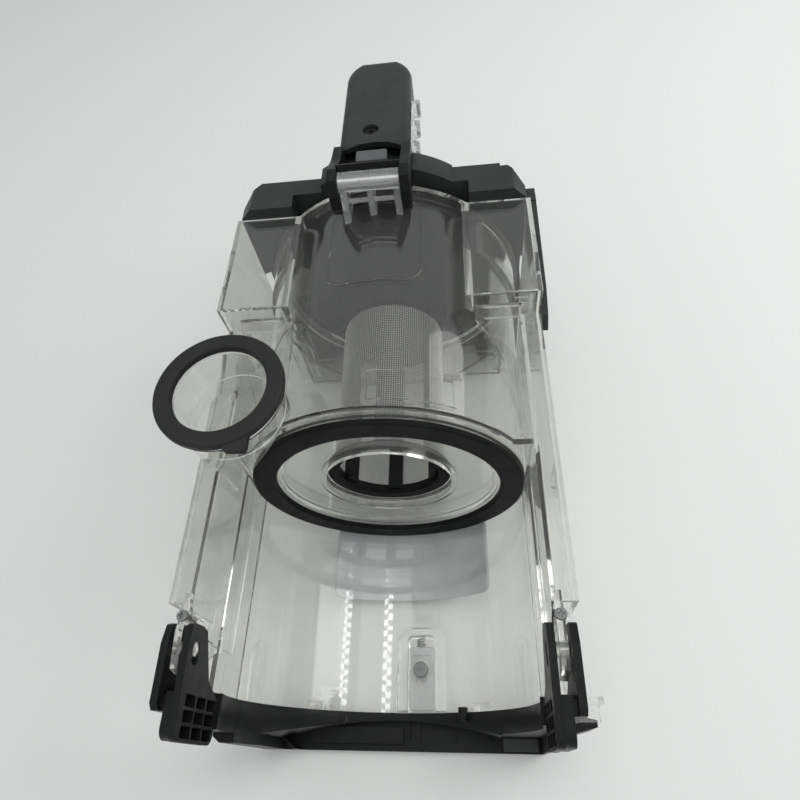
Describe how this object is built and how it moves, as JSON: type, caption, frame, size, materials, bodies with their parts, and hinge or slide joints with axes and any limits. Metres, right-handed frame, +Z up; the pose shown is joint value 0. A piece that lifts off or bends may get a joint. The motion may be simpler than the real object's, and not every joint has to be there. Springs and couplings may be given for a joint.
{
  "type": "canister vacuum cleaner dust bin",
  "caption": "Clear cyclone dust bin of a canister vacuum cleaner with hinged handle lid, inlet and outlet gaskets, filter cage and swinging base frame.",
  "frame": {"origin": "on the floor, under the middle of the bin's bounding box as it lies on its back", "axes": "+Z up, +Y along the chamber axis from the open dust trough towards the carry handle, +X to the right seen from the trough end with the handle pointing away"},
  "size_m": [0.167, 0.336, 0.1611],
  "materials": {
    "clear_plastic": "polished clear",
    "black_rubber": "matt",
    "grey_rubber": "matt",
    "black_plastic": "satin",
    "charcoal_plastic": "fine grain",
    "button_grey": "fine grain",
    "pad_grey": "satin",
    "smoke_plastic": "translucent",
    "label_grey": "plain film",
    "mesh_steel": "fine mesh",
    "spring_steel": "bright",
    "frosted_plastic": "frosted clear",
    "zinc_grey": "dull zinc",
    "dark_screw": "black oxide"
  },
  "bodies": {
    "bin": {"bin_shell": "clear_plastic", "chamber_tube": "clear_plastic", "chamber_end_plate": "clear_plastic", "chamber_gasket": "black_rubber", "inlet_duct": "clear_plastic", "inlet_gasket": "grey_rubber", "hinge_knuckle": "frosted_plastic", "cage_frame": "black_plastic", "cage_mesh": "mesh_steel", "cage_end_cap": "black_plastic", "cage_seal": "black_rubber", "blank_label": "label_grey", "pivot_pins": "clear_plastic", "rail_screws": "zinc_grey", "catch_guide": "clear_plastic", "catch_screw": "zinc_grey", "catch_spring": "spring_steel"},
    "slide_catch": {"catch_slider": "smoke_plastic"},
    "lid": {"top_frame": "charcoal_plastic", "lid_panel": "charcoal_plastic", "lid_seal": "black_rubber", "hinge_bracket": "black_plastic", "hinge_pin": "spring_steel", "button_spring": "spring_steel", "handle_front_shell": "charcoal_plastic", "handle_rear_shell": "charcoal_plastic", "handle_screws": "dark_screw", "side_strip": "frosted_plastic", "frame_screws": "dark_screw"},
    "button": {"release_button": "button_grey"},
    "base": {"base_frame": "black_plastic", "hinge_arm_right": "black_plastic", "hinge_arm_left": "black_plastic", "grey_pad": "pad_grey"}
  },
  "joints": [
    {"name": "lid_hinge", "type": "hinge", "parent": "bin", "child": "lid", "pos_m": [0, 0.056, 0.1535], "axis": [1, 0, 0], "range_deg": [0, 100]},
    {"name": "button_press", "type": "slide", "parent": "lid", "child": "button", "axis": [0, 0, -1], "range_m": [0, 0.003], "stiffness_N_per_m": 300, "deforming": ["button_spring"]},
    {"name": "base_hinge", "type": "hinge", "parent": "bin", "child": "base", "pos_m": [0, -0.139, 0.1115], "axis": [-1, 0, 0], "range_deg": [0, 100]},
    {"name": "catch_slide", "type": "slide", "parent": "bin", "child": "slide_catch", "axis": [0, 1, 0], "range_m": [0, 0.004], "stiffness_N_per_m": 200, "deforming": ["catch_spring"]}
  ]
}
